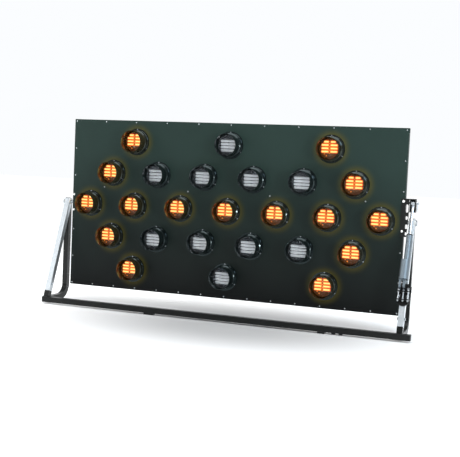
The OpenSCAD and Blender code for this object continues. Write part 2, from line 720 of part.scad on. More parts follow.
// ---- actuator -------------------------------------------------------------------------
module rear_fork() color(ZINC) on_actuator() translate([-fork_off, 0, 0]) difference() {
    union() {
        translate([-fork_w / 2, -16, 0]) cube([fork_w, 32, fork_len]);
        along_x(16, fork_w);
    }
    gap = tongue_t + 2 * fork_side;
    translate([-gap / 2, -20, -20]) cube([gap, 40, 20 + fork_len - 12]);
    along_x(pin_r + touch, fork_w + 2);
}

module gear_cap() color(ZINC) on_actuator() translate([-motor_off, 0, fork_len])
    cylinder(r = motor_r + 1.5, h = cap_len);

module motor_can() color([0.66, 0.69, 0.72]) on_actuator() difference() {
    translate([-motor_off, 0, motor_from]) cylinder(r = motor_r, h = motor_len);
    translate([0, 0, tube_from]) cylinder(r = body_r, h = motor_len);
}

module actuator_tube() color([0.72, 0.75, 0.78]) on_actuator() difference() {
    translate([0, 0, tube_from]) cylinder(r = body_r, h = tube_to - tube_from);
    translate([0, 0, tube_from + 4]) cylinder(r = rod_r + 3, h = tube_to);
}

module rod_wiper() color(BLACK) on_actuator() translate([0, 0, tube_to]) {
    ring(body_r, rod_r + touch, wiper_h);
    translate([0, 0, -14]) ring(rod_r + 3, rod_r + touch, 14);
}

module actuator_rod() color([0.9, 0.91, 0.93]) on_actuator()
    translate([0, 0, rod_from]) cylinder(r = rod_r, h = act_len - eye_r + rod_in_eye - rod_from);

module rod_end() color(ZINC) on_actuator() translate([0, 0, act_len]) difference() {
    along_x(eye_r, eye_w);
    along_x(pin_r, eye_w + 2);
    translate([0, 0, -2 * eye_r]) cylinder(r = rod_r, h = eye_r + rod_in_eye);
}

module rod_pin() color(ZINC) on_actuator() translate([0, 0, act_len]) {
    inboard = frame_gap + tube / 2 - 8;
    outboard = ears_w / 2 + clip_out + 6;
    difference() {
        translate([(outboard - inboard) / 2, 0, 0]) along_x(pin_r, inboard + outboard);
        translate([outboard - 6, 0, 0]) cylinder(r = clip_wire, h = 20, center = true);
    }
}

module pin_rollers() color([0.5, 0.52, 0.55]) on_actuator() translate([0, 0, act_len])
    for (s = [-1, 1]) translate([s * (ears_w - ear_t) / 2, 0, 0]) difference() {
        along_x(roller_r, ear_t + 2 * ear_gap);
        along_x(pin_r, 20);
    }

// A spring clip: a straight wire down through the pin, looped back to a second one in front.
module hairpin_clip() color(ZINC) on_actuator()
    translate([ears_w / 2 + clip_out, 0, act_len]) {
        gap = pin_r + 2 * clip_wire;
        low = -52;
        translate([0, 0, low]) cylinder(r = clip_wire, h = 12 - low, $fn = 24);
        translate([0, -gap, low]) cylinder(r = clip_wire, h = 4 - low, $fn = 24);
        translate([0, -gap / 2, low]) rotate([0, 90, 0]) rotate([0, 0, -90])
            rotate_extrude(angle = 180) translate([gap / 2, 0]) circle(r = clip_wire, $fn = 24);
    }

module left_front_leg() { front_leg(-1); }
module right_front_leg() { front_leg(1); }
module left_rear_leg() { rear_leg(-1); }
module right_rear_leg() { rear_leg(1); }
module left_foot_socket() { foot_socket(-1); }
module right_foot_socket() { foot_socket(1); }
module left_channel() { side_channel(-1); }
module right_channel() { side_channel(1); }

translate([-(foot_left_x + foot_span / 2), 0, foot_t]) {
    base_rail();
    rail_end_caps();
    mounting_feet();
    rail_bolts();
    left_front_leg();
    right_front_leg();
    left_rear_leg();
    right_rear_leg();
    left_foot_socket();
    right_foot_socket();
    leg_top_caps();
    leg_bolts();
    pivot_bushes();
    leg_clamp_bracket();
    leg_clamp_strap();
    leg_clamp_bolts();
    clamp_studs();
    base_pin();
    face_sheet();
    top_channel();
    bottom_channel();
    left_channel();
    right_channel();
    cross_brace();
    uprights();
    edge_rivets();
    pivot_shafts();
    pivot_nuts();
    pivot_bolts();
    lever_bracket();
    lever_bolts();
    hoods_row_1();
    hoods_row_2();
    hoods_row_3();
    hoods_row_4();
    hoods_row_5();
    hood_screws();
    lamp_gaskets();
    lamp_cups();
    lamp_plugs();
    amber_led_boards();
    clear_led_boards();
    amber_lenses();
    clear_lenses();
    cable_ducts();
    box_straps();
    control_box();
    control_lid();
    lid_screws();
    cable_gland();
    actuator_tube();
    motor_can();
    gear_cap();
    rear_fork();
    rod_wiper();
    actuator_rod();
    rod_end();
    rod_pin();
    pin_rollers();
    hairpin_clip();
}
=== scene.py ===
import math

import bmesh
import bpy
from mathutils import Matrix, Vector


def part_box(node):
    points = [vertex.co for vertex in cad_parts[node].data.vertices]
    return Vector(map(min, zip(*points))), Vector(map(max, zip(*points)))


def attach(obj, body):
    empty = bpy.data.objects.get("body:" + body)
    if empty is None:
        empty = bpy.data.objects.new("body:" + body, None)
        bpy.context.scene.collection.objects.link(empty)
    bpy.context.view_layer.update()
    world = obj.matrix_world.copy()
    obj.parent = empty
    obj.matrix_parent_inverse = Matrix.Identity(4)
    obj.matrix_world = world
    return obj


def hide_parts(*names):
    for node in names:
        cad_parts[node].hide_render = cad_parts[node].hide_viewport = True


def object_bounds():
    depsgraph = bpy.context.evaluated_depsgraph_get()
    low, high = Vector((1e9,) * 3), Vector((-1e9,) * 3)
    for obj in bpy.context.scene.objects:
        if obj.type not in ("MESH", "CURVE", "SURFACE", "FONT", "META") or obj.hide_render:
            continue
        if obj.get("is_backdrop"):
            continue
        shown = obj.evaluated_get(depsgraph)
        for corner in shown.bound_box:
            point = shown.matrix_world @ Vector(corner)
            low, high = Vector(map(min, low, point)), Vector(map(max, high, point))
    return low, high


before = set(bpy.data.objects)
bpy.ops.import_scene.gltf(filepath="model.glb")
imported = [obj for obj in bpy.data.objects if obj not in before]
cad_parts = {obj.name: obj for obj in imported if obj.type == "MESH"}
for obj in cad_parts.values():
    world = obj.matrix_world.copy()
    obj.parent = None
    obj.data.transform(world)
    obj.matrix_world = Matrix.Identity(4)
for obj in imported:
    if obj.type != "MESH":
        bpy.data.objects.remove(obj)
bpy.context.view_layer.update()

scene = bpy.context.scene
scene.view_settings.view_transform = "Standard"
scene.view_settings.look = "None"


# ---- camera ---------------------------------------------------------------------------
# A long lens at standing height, in front of the panel and to its right, with the
# horizon tipped by a few degrees. It is placed from the point under the panel's middle
# at the height of the rail's underside. The object has no free cord.
panel_low, panel_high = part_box("face_sheet")
centre_x = (panel_low.x + panel_high.x) / 2
rail_foot = Vector((centre_x, 0.0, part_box("base_rail")[0].z))
turn, tilt, roll = 0.345247, 0.0685097, 0.0455596
back = Vector((math.sin(turn) * math.cos(tilt), -math.cos(turn) * math.cos(tilt), math.sin(tilt)))
level = Vector((math.cos(turn), math.sin(turn), 0.0))
upright = back.cross(level)
right = level * math.cos(roll) + upright * math.sin(roll)
up = upright * math.cos(roll) - level * math.sin(roll)
lens_data = bpy.data.cameras.new("camera")
lens_data.lens = 68.907
lens_data.sensor_width = 36.0
lens_data.clip_end = 200.0
camera = bpy.data.objects.new("camera", lens_data)
scene.collection.objects.link(camera)
camera.matrix_world = Matrix.Translation(
    rail_foot + Vector((2.0871, -5.4798, 1.0197))) @ Matrix(
    (right, up, back)).transposed().to_4x4()
scene.camera = camera


# ---- studio ---------------------------------------------------------------------------
# A plain white floor under soft light. Large soft boxes stand to the right and overhead,
# and a small bright one to the right puts the glint on each hood's chamfer.
def linear(hex_colour):
    """An sRGB hex colour as linear red, green, blue and alpha."""
    parts = [int(hex_colour[i:i + 2], 16) / 255 for i in (1, 3, 5)]
    return tuple(c / 12.92 if c <= 0.04045 else ((c + 0.055) / 1.055) ** 2.4
                 for c in parts) + (1.0,)


def add(tree, kind, inputs=None, **settings):
    """One shader node: settings go on the node, inputs are values or other nodes' sockets."""
    made = tree.nodes.new("ShaderNode" + kind)
    for name, value in settings.items():
        setattr(made, name, value)
    for name, value in (inputs or {}).items():
        if isinstance(value, bpy.types.NodeSocket):
            tree.links.new(value, made.inputs[name])
        else:
            made.inputs[name].default_value = value
    return made


def new_finish(name):
    """A material with its tree and its shader, which the caller sets."""
    made = bpy.data.materials.new(name)
    made.use_nodes = True
    return made, made.node_tree, made.node_tree.nodes["Principled BSDF"]


world = bpy.data.worlds.new("studio")
world.use_nodes = True
scene.world = world
sky = world.node_tree
way = add(sky, "SeparateXYZ", {"Vector": add(sky, "TexCoord").outputs["Generated"]})
behind = add(sky, "MapRange", {"Value": way.outputs["Y"], "From Min": -0.25, "From Max": 0.3,
                               "To Min": 0.42, "To Max": 1.0}, interpolation_type="SMOOTHSTEP")
sky.nodes["Background"].inputs["Color"].default_value = linear("#FBFDFF")
sky.links.new(behind.outputs["Result"], sky.nodes["Background"].inputs["Strength"])

floor_mesh = bpy.data.meshes.new("floor")
floor_gap = 0.0005
floor_half = 40
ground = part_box("mounting_feet")[0].z - floor_gap
floor_mesh.from_pydata([(x * floor_half, y * floor_half, ground)
                        for x, y in ((-1, -1), (1, -1), (1, 1), (-1, 1))], [], [(0, 1, 2, 3)])
floor = bpy.data.objects.new("floor", floor_mesh)
scene.collection.objects.link(floor)
floor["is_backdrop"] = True
floor_paint, floor_tree, floor_shader = new_finish("white_studio_floor")
floor_shader.inputs["Roughness"].default_value = 0.9
floor_shader.inputs["Specular IOR Level"].default_value = 0.1
floor_shader.inputs["Emission Color"].default_value = linear("#FFFFFF")
# The paper glows a little by itself, as if lit from below too, except round the object, where a
# painted shadow, a soft grey pool, lies in front of the rail: darker base colour and no glow. It
# fades out evenly by 1.5 m in depth, and further along the rail.
from_rail = add(floor_tree, "VectorMath", {0: add(floor_tree, "TexCoord").outputs["Object"],
                                           1: (rail_foot.x + 0.2, -0.2, ground)},
                operation="SUBTRACT")
squeezed = add(floor_tree, "VectorMath", {0: from_rail.outputs["Vector"], 1: (0.62, 1.0, 0.0)},
               operation="MULTIPLY")
distance = add(floor_tree, "VectorMath", {0: squeezed.outputs["Vector"]}, operation="LENGTH")
painted_shadow_fade = add(floor_tree, "MapRange", {"Value": distance.outputs["Value"], "From Min": 0.1,
                                         "From Max": 1.5, "To Min": 0.0, "To Max": 1.0},
                interpolation_type="SMOOTHSTEP")
# Painted shadow: the floor's colour is grey next to the rail and white further out.
paper = add(floor_tree, "MixRGB", {"Fac": painted_shadow_fade.outputs["Result"], "Color1": linear("#A4A4A4"),
                                   "Color2": linear("#F6F7F7")})
floor_tree.links.new(paper.outputs["Color"], floor_shader.inputs["Base Color"])
from_below = add(floor_tree, "Math", {0: painted_shadow_fade.outputs["Result"], 1: 0.42},
                 operation="MULTIPLY")
floor_tree.links.new(from_below.outputs["Value"], floor_shader.inputs["Emission Strength"])
floor_mesh.materials.append(floor_paint)


def soft_box(name, place, aim, size, watts, colour="#FFFFFF"):
    """A rectangular light, placed from the rail's foot and turned towards its aim."""
    data = bpy.data.lights.new(name, "AREA")
    data.shape = "RECTANGLE"
    data.size, data.size_y = size
    data.energy = watts
    data.color = linear(colour)[:3]
    lamp = bpy.data.objects.new(name, data)
    scene.collection.objects.link(lamp)
    lamp.location = rail_foot + Vector(place)
    lamp.rotation_euler = (Vector(place) - Vector(aim)).to_track_quat("Z", "Y").to_euler()


soft_box("overhead", (0.5, -1.5, 5.0), (0, 0.3, 0.6), (5.0, 3.0), 260)
soft_box("right_high", (5.0, -2.2, 4.2), (0, 0.3, 0.7), (2.4, 2.0), 140, "#D6ECFF")
soft_box("left_fill", (-5.5, -3.0, 2.5), (0, 0.3, 0.7), (2.5, 2.5), 90)
soft_box("right_glint", (5.4, -4.3, 1.1), (0, 0.25, 0.72), (0.5, 0.5), 150)


# ---- base rail ------------------------------------------------------------------------
# One square steel tube lies across the vehicle and carries everything. It is cut,
# drilled and powder coated black, and the two feet under it are welded on first.
def grit(tree, millimetres, detail=3.0, roughness=0.55, stretch=(1, 1, 1)):
    """Noise whose grains are that many millimetres across, stretched along an axis if asked."""
    place = add(tree, "Mapping", {"Vector": add(tree, "TexCoord").outputs["Object"],
                                  "Scale": tuple(1000.0 / millimetres * s for s in stretch)})
    return add(tree, "TexNoise", {"Vector": place.outputs["Vector"], "Scale": 1.0, "Detail": detail,
                                  "Roughness": roughness})


def dress(nodes, made):
    """Puts a finish on every slot of the named pieces."""
    for name in nodes:
        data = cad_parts[name].data
        if not data.materials:
            data.materials.append(made)
        for i in range(len(data.materials)):
            data.materials[i] = made


# Powder coat on steel: cured from dry powder, so it has an orange-peel skin with bumps
# about 3 mm across, a soft gloss, and a thin grey veil of road dust in patches.
def powder_coat(name, deep, dusty, gloss):
    """Baked powder: a deep and a dusty tone in patches, at the given roughness."""
    made, tree, shader = new_finish(name)
    dust = add(tree, "MapRange", {"Value": grit(tree, 140, 5).outputs["Fac"], "From Min": 0.48,
                                  "From Max": 0.72})
    shade = add(tree, "MixRGB", {"Fac": dust.outputs["Result"], "Color1": linear(deep),
                                 "Color2": linear(dusty)})
    tree.links.new(shade.outputs["Color"], shader.inputs["Base Color"])
    rough = add(tree, "MapRange", {"Value": grit(tree, 40, 4).outputs["Fac"],
                                   "To Min": gloss - 0.07, "To Max": gloss + 0.12})
    tree.links.new(rough.outputs["Result"], shader.inputs["Roughness"])
    peel = add(tree, "Bump", {"Height": grit(tree, 3.0, 1).outputs["Fac"], "Strength": 0.12,
                              "Distance": 0.0006})
    tree.links.new(peel.outputs["Normal"], shader.inputs["Normal"])
    shader.inputs["Specular IOR Level"].default_value = 0.24
    shader.inputs["Coat Weight"].default_value = 0.06
    shader.inputs["Coat Roughness"].default_value = 0.18
    return made


black_powder_coat = powder_coat("black_powder_coat", "#0B0D0C", "#131514", 0.34)
dress(["base_rail", "mounting_feet"], black_powder_coat)

# Moulded polyethylene caps, pushed into the tube's ends: matt, with a fine mould texture.
moulded_cap, cap_tree, cap_shader = new_finish("moulded_polyethylene")
cap_shader.inputs["Roughness"].default_value = 0.55
cap_shader.inputs["IOR"].default_value = 1.51
cap_skin = add(cap_tree, "Bump", {"Height": grit(cap_tree, 1.5, 2).outputs["Fac"], "Strength": 0.15,
                                  "Distance": 0.0004})
cap_tree.links.new(cap_skin.outputs["Normal"], cap_shader.inputs["Normal"])
cap_tone = add(cap_tree, "MixRGB", {"Fac": grit(cap_tree, 12, 3).outputs["Fac"],
                                    "Color1": linear("#121313"), "Color2": linear("#1F2120")})
cap_tree.links.new(cap_tone.outputs["Color"], cap_shader.inputs["Base Color"])
dress(["rail_end_caps", "leg_top_caps"], moulded_cap)


# Black oxide on the two bolts under the rail and the actuator's lower pin: an oiled dip,
# darker in the hollows.
def metal_finish(name, light, dark, gloss, grain_mm, stretch=(1, 1, 1), bump=0.12, spread=0.1):
    """A bare or plated metal: two tones, a roughness that wanders, and a fine grain."""
    made, tree, shader = new_finish(name)
    grain = grit(tree, grain_mm, 4, 0.6, stretch)
    tone = add(tree, "MixRGB", {"Fac": grain.outputs["Fac"], "Color1": linear(dark),
                                "Color2": linear(light)})
    tree.links.new(tone.outputs["Color"], shader.inputs["Base Color"])
    shader.inputs["Metallic"].default_value = 1.0
    wander = add(tree, "MapRange", {"Value": grit(tree, 9 * grain_mm, 3).outputs["Fac"],
                                    "To Min": gloss - spread, "To Max": gloss + spread})
    tree.links.new(wander.outputs["Result"], shader.inputs["Roughness"])
    relief = add(tree, "Bump", {"Height": grain.outputs["Fac"], "Strength": bump,
                                "Distance": 0.0004})
    tree.links.new(relief.outputs["Normal"], shader.inputs["Normal"])
    return made


dress(["rail_bolts", "base_pin"],
      metal_finish("black_oxide_steel", "#3A3B3C", "#1A1B1C", 0.42, 2.5))


# Weld beads run along the feet, the stubs and the rear legs where they meet the rail: a
# row of overlapping ripples about 4 mm apart, painted with the rest.
ripple = 0.004
ripple_dip = 0.78


def bead(name, start, end, width):
    """A weld on the frame: a straight ridge that swells and dips once every ripple."""
    shape = bmesh.new()
    start, end = Vector(start), Vector(end)
    count = max(2, round((end - start).length / ripple))
    turned = (end - start).normalized().to_track_quat("Z", "Y").to_matrix()
    rings = []
    for i in range(2 * count + 1):
        swell = width * (1.0 if i % 2 else ripple_dip)
        centre = start.lerp(end, i / (2 * count))
        rings.append([shape.verts.new(centre + turned @ Vector(
            (swell * math.cos(k * math.pi / 4), swell * math.sin(k * math.pi / 4), 0)))
            for k in range(8)])
    for r0, r1 in zip(rings, rings[1:]):
        for k in range(8):
            shape.faces.new((r0[k], r0[(k + 1) % 8], r1[(k + 1) % 8], r1[k]))
    shape.faces.new(rings[0][::-1])
    shape.faces.new(rings[-1])
    data = bpy.data.meshes.new(name)
    shape.to_mesh(data)
    shape.free()
    data.polygons.foreach_set("use_smooth", [True] * len(data.polygons))
    data.materials.append(black_powder_coat)
    made = bpy.data.objects.new(name, data)
    scene.collection.objects.link(made)
    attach(made, "frame")


left_foot_len, right_foot_len = 0.070, 0.048
foot_bead, stub_bead = 0.0022, 0.0024
bead_inset = 0.004
seam_z = rail_foot.z - 0.0005
feet_low, feet_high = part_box("mounting_feet")
half_rail = feet_high.y
feet_x = [(feet_low.x, feet_low.x + left_foot_len), (feet_high.x - right_foot_len, feet_high.x)]
for k, (x0, x1) in enumerate(feet_x):
    for face, y in (("front", -half_rail), ("rear", half_rail)):
        bead(f"foot_weld_{k + 1}_{face}", (x0 + bead_inset, y, seam_z),
             (x1 - bead_inset, y, seam_z), foot_bead)


# ---- side frames ----------------------------------------------------------------------
# Each end of the rail has a sloping front leg and a rear leg bent from one tube. The
# front legs are bright galvanised tube, slid over black stubs and cross bolted.
galvanised, zinc_tree, zinc_shader = new_finish("galvanised_tube")
# Hot-dip zinc drawn over the tube: crystals 8 to 11 mm across that catch the light
# separately, over faint drawing lines along the tube.
crystal_place = add(zinc_tree, "Mapping", {"Vector": add(zinc_tree, "TexCoord").outputs["Object"],
                                           "Scale": (125.0, 125.0, 90.0)})
crystals = add(zinc_tree, "TexVoronoi", {"Vector": crystal_place.outputs["Vector"], "Scale": 1.0},
               feature="F1")
crystal_tone = add(zinc_tree, "MapRange", {"Value": crystals.outputs["Color"], "To Min": 0.0,
                                           "To Max": 1.0})
zinc_tone = add(zinc_tree, "MixRGB", {"Fac": crystal_tone.outputs["Result"],
                                      "Color1": linear("#C2C9CE"), "Color2": linear("#D3D9DD")})
zinc_tree.links.new(zinc_tone.outputs["Color"], zinc_shader.inputs["Base Color"])
zinc_shader.inputs["Metallic"].default_value = 1.0
zinc_gloss = add(zinc_tree, "MapRange", {"Value": crystal_tone.outputs["Result"], "To Min": 0.36,
                                         "To Max": 0.46})
zinc_tree.links.new(zinc_gloss.outputs["Result"], zinc_shader.inputs["Roughness"])
drawn = add(zinc_tree, "Bump", {"Height": grit(zinc_tree, 2.0, 2, 0.5, (1, 1, 0.05)).outputs["Fac"],
                                "Strength": 0.1, "Distance": 0.0003})
zinc_tree.links.new(drawn.outputs["Normal"], zinc_shader.inputs["Normal"])
dress(["left_front_leg", "right_front_leg"], galvanised)

# The rear legs and the stubs are the rail's own black coat, a little glossier where the
# tube was bent and its skin stretched smooth.
glossy_powder_coat = powder_coat("black_powder_coat_on_bend", "#090B0A", "#111312", 0.27)
dress(["left_rear_leg", "right_rear_leg", "left_foot_socket", "right_foot_socket"],
      glossy_powder_coat)
end_gap = 0.001
rail_top = rail_foot.z + 2 * half_rail
for side in ("left", "right"):
    low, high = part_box(f"{side}_foot_socket")
    edges = (("", low.x), ("_inner", high.x))
    for place, x in edges:
        bead(f"{side}_stub_weld{place}", (x, -half_rail + end_gap, rail_top),
             (x, half_rail, rail_top), stub_bead)
    for place, x in edges:
        bead(f"{side}_rear_leg_weld{place}", (x, half_rail, rail_foot.z + end_gap),
             (x, half_rail, rail_top - end_gap), foot_bead)

# Bright zinc plate on the bolts, nuts and pins: a thin bluish mirror with a soft haze,
# dulled where spanners and dirt have touched it.
bright_zinc = metal_finish("bright_zinc_plate", "#D3D8DC", "#8D949A", 0.26, 3.0)
dress(["leg_bolts", "leg_clamp_bolts", "pivot_nuts", "pivot_shafts", "rod_pin",
       "rod_end", "hood_screws", "lid_screws"], bright_zinc)

# Natural nylon bushes keep the shafts off the tubes: creamy, waxy and slightly see-through.
nylon, nylon_tree, nylon_shader = new_finish("natural_nylon")
nylon_tone = add(nylon_tree, "MixRGB", {"Fac": grit(nylon_tree, 15, 3).outputs["Fac"],
                                        "Color1": linear("#D9D2BC"), "Color2": linear("#EAE5D6")})
nylon_tree.links.new(nylon_tone.outputs["Color"], nylon_shader.inputs["Base Color"])
nylon_shader.inputs["Roughness"].default_value = 0.45
nylon_shader.inputs["IOR"].default_value = 1.53
nylon_shader.inputs["Subsurface Weight"].default_value = 0.15
nylon_shader.inputs["Subsurface Radius"].default_value = (0.002, 0.0016, 0.001)
dress(["pivot_bushes"], nylon)


# ---- clamp on the right front leg -----------------------------------------------------
# Two bent plates bolted round the tube, coated black, with two shelves tied by bright
# threaded studs. Its tongue takes the actuator's lower pin.
dress(["leg_clamp_bracket", "leg_clamp_strap"], powder_coat("black_coated_plate", "#080909",
                                                            "#101111", 0.36))

# Zinc-plated threaded rod: the crests of its thread show as rings about 2 mm apart, painted bright
# over dark roots as painted highlight and shade, over a matching bump.
thread, thread_tree, thread_shader = new_finish("zinc_plated_thread")
thread_place = add(thread_tree, "TexCoord")
crests = add(thread_tree, "TexWave", {"Vector": thread_place.outputs["Object"], "Scale": 160.0,
                                      "Distortion": 0.0}, wave_type="BANDS", bands_direction="Z")
thread_painted_shading = add(thread_tree, "MixRGB", {"Fac": crests.outputs["Fac"], "Color1": linear("#6F767C"),
                                          "Color2": linear("#DADFE3")})
thread_tree.links.new(thread_painted_shading.outputs["Color"], thread_shader.inputs["Base Color"])
thread_shader.inputs["Metallic"].default_value = 1.0
thread_shader.inputs["Roughness"].default_value = 0.3
thread_relief = add(thread_tree, "Bump", {"Height": crests.outputs["Fac"], "Strength": 0.5,
                                          "Distance": 0.0006})
thread_tree.links.new(thread_relief.outputs["Normal"], thread_shader.inputs["Normal"])
dress(["clamp_studs"], thread)


# ---- lamp panel -----------------------------------------------------------------------
# A 96 by 48 inch aluminium sheet riveted to a frame of bent channels, sprayed dark
# green-black. The faint amber bloom of the lit lamps round their hoods is painted into the paint's
# colour.
step_x, step_z = 0.1778, 0.2286
centre_z = (panel_low.z + panel_high.z) / 2
face_y = panel_low.y
paint_depth = 0.0005
bloom_reach, bloom_share = 0.150, 0.5
rows = [(2, (-4, 0, 4)), (1, (-5, -3, -1, 1, 3, 5)), (0, (-6, -4, -2, 0, 2, 4, 6)),
        (-1, (-5, -3, -1, 1, 3, 5)), (-2, (-4, 0, 4))]
lit_lamps, dark_lamps = [], []
for row, columns in rows:
    for column in columns:
        is_lit = row == 0 or (abs(row), abs(column)) in ((2, 4), (1, 5))
        (lit_lamps if is_lit else dark_lamps).append(
            (centre_x + column * step_x, centre_z + row * step_z))


def painted_lamp_glow(tree, reach, inner=0.070):
    """Mask of a painted lamp glow: 1 on the front beside a lit lamp, falling to 0 at the given
    reach in metres.
    """
    place = add(tree, "TexCoord").outputs["Object"]
    flat = add(tree, "VectorMath", {0: place, 1: (1.0, 0.0, 1.0)}, operation="MULTIPLY")
    total = None
    for x, z in lit_lamps:
        gap = add(tree, "VectorMath", {0: flat.outputs["Vector"], 1: (x, 0.0, z)},
                  operation="DISTANCE")
        near = add(tree, "MapRange", {"Value": gap.outputs["Value"], "From Min": inner,
                                      "From Max": reach, "To Min": 1.0, "To Max": 0.0},
                   interpolation_type="SMOOTHERSTEP")
        if total is None:
            total = near.outputs["Result"]
        else:
            total = add(tree, "Math", {0: total, 1: near.outputs["Result"]},
                        operation="MAXIMUM").outputs["Value"]
    depth = add(tree, "SeparateXYZ", {"Vector": place}).outputs["Y"]
    on_front = add(tree, "Math", {0: depth, 1: face_y + paint_depth}, operation="LESS_THAN")
    return add(tree, "Math", {0: total, 1: on_front.outputs["Value"]},
               operation="MULTIPLY").outputs["Value"]


def sprayed_enamel(name, with_painted_bloom):
    """Two-pack enamel on aluminium, lighter towards the top and darker towards the panel's foot:
    painted light.
    """
    made, tree, shader = new_finish(name)
    height = add(tree, "SeparateXYZ", {"Vector": add(tree, "TexCoord").outputs["Object"]})
    rise = add(tree, "MapRange", {"Value": height.outputs["Z"], "From Min": panel_low.z,
                                  "From Max": panel_low.z + 0.8 * (panel_high.z - panel_low.z)})
    # Painted light: the base colour rises from near black at the foot to green at 80 per cent of
    # the height.
    painted_light_gradient = add(tree, "MixRGB", {"Fac": rise.outputs["Result"], "Color1": linear("#090C0C"),
                                "Color2": linear("#1F2E2A")})
    patch = add(tree, "MapRange", {"Value": grit(tree, 320, 5, 0.6).outputs["Fac"], "To Min": 0.86,
                                   "To Max": 1.12})
    tone = add(tree, "VectorMath", {0: painted_light_gradient.outputs["Color"], "Scale": patch.outputs["Result"]},
               operation="SCALE").outputs["Vector"]
    # A painted amber glow round each lit lamp, mixed into the base colour.
    if with_painted_bloom:
        bloom = add(tree, "Math", {0: painted_lamp_glow(tree, bloom_reach), 1: bloom_share},
                    operation="MULTIPLY")
        tone = add(tree, "MixRGB", {"Fac": bloom.outputs["Value"], "Color1": tone,
                                    "Color2": linear("#59500F")}).outputs["Color"]
    tree.links.new(tone, shader.inputs["Base Color"])
    rough = add(tree, "MapRange", {"Value": grit(tree, 60, 4).outputs["Fac"], "To Min": 0.36,
                                   "To Max": 0.5})
    tree.links.new(rough.outputs["Result"], shader.inputs["Roughness"])
    peel = add(tree, "Bump", {"Height": grit(tree, 4.0, 1).outputs["Fac"], "Strength": 0.05,
                              "Distance": 0.0005})
    tree.links.new(peel.outputs["Normal"], shader.inputs["Normal"])
    shader.inputs["Specular IOR Level"].default_value = 0.14
    return made


dress(["face_sheet"], sprayed_enamel("green_black_enamel_on_face", True))
dress(["top_channel", "bottom_channel", "left_channel", "right_channel", "cross_brace", "uprights",
       "box_straps"], sprayed_enamel("green_black_enamel_on_frame", False))

# Domed aluminium blind rivets, left bare: bright crowns that have gone slightly dull.
dress(["edge_rivets"], metal_finish("bare_aluminium_rivet", "#C3C7C9", "#8E9497", 0.38, 2.0))

# White-coated button bolts hold the pivot plates and the lever: glossy baked enamel.
white_bolt, bolt_tree, bolt_shader = new_finish("white_baked_enamel")
bolt_tone = add(bolt_tree, "MixRGB", {"Fac": grit(bolt_tree, 6, 3).outputs["Fac"],
                                      "Color1": linear("#E4E4DF"), "Color2": linear("#F6F6F3")})
bolt_tree.links.new(bolt_tone.outputs["Color"], bolt_shader.inputs["Base Color"])
bolt_shader.inputs["Roughness"].default_value = 0.28
bolt_shader.inputs["Coat Weight"].default_value = 0.4
dress(["pivot_bolts", "lever_bolts"], white_bolt)

# The lever is cut plate, folded and welded, and coated black after its windows are cut.
dress(["lever_bracket"], powder_coat("black_coated_lever", "#0B0E0D", "#121615", 0.33))


# ---- hoods ----------------------------------------------------------------------------
# Each lamp looks out of a stepped visor moulded in glossy black plastic. The amber light of a lit
# lamp is painted into the base colour as brown on the inside of its barrel and the collar beside
# it.
moulded_hood, hood_tree, hood_shader = new_finish("glossy_moulded_abs")
hood_glow_mask = add(hood_tree, "Math", {0: painted_lamp_glow(hood_tree, 0.100, 0.060), 1: 0.45},
                 operation="MULTIPLY")
hood_tone = add(hood_tree, "MixRGB", {"Fac": grit(hood_tree, 90, 3).outputs["Fac"],
                                      "Color1": linear("#090E0E"), "Color2": linear("#121A1A")})
# Painted light: the hood's colour turns brown near a lit lamp.
hood_painted_glow = add(hood_tree, "MixRGB", {"Fac": hood_glow_mask.outputs["Value"],
                                     "Color1": hood_tone.outputs["Color"],
                                     "Color2": linear("#3A2E0A")})
hood_tree.links.new(hood_painted_glow.outputs["Color"], hood_shader.inputs["Base Color"])
hood_gloss = add(hood_tree, "MapRange", {"Value": grit(hood_tree, 25, 4).outputs["Fac"],
                                         "To Min": 0.11, "To Max": 0.20})
hood_tree.links.new(hood_gloss.outputs["Result"], hood_shader.inputs["Roughness"])
hood_shader.inputs["IOR"].default_value = 1.54
hood_shader.inputs["Specular IOR Level"].default_value = 0.30
hood_shader.inputs["Specular Tint"].default_value = linear("#CFE6EA")
hood_flow = add(hood_tree, "Bump", {"Height": grit(hood_tree, 35, 2).outputs["Fac"],
                                    "Strength": 0.04, "Distance": 0.001})
hood_tree.links.new(hood_flow.outputs["Normal"], hood_shader.inputs["Normal"])
dress([f"hoods_row_{k}" for k in range(1, 6)], moulded_hood)

# The cups, plugs and the box's gland are nylon with glass fibre: satin, with a dry bloom.
fibre_nylon, cup_tree, cup_shader = new_finish("glass_filled_nylon")
cup_tone = add(cup_tree, "MixRGB", {"Fac": grit(cup_tree, 8, 4).outputs["Fac"],
                                    "Color1": linear("#141515"), "Color2": linear("#242726")})
cup_tree.links.new(cup_tone.outputs["Color"], cup_shader.inputs["Base Color"])
cup_shader.inputs["Roughness"].default_value = 0.46
cup_relief = add(cup_tree, "Bump", {"Height": grit(cup_tree, 2.0, 2).outputs["Fac"],
                                    "Strength": 0.1, "Distance": 0.0005})
cup_tree.links.new(cup_relief.outputs["Normal"], cup_shader.inputs["Normal"])
dress(["lamp_cups", "lamp_plugs", "cable_gland"], fibre_nylon)

# Moulded rubber for the lamp gaskets and the rod's wiper: matt, with a dusty bloom.
rubber, rubber_tree, rubber_shader = new_finish("moulded_rubber")
rubber_tone = add(rubber_tree, "MixRGB", {"Fac": grit(rubber_tree, 10, 4).outputs["Fac"],
                                          "Color1": linear("#101010"), "Color2": linear("#1C1C1C")})
rubber_tree.links.new(rubber_tone.outputs["Color"], rubber_shader.inputs["Base Color"])
rubber_shader.inputs["Roughness"].default_value = 0.75
rubber_shader.inputs["Sheen Weight"].default_value = 0.1
dress(["lamp_gaskets", "rod_wiper"], rubber)


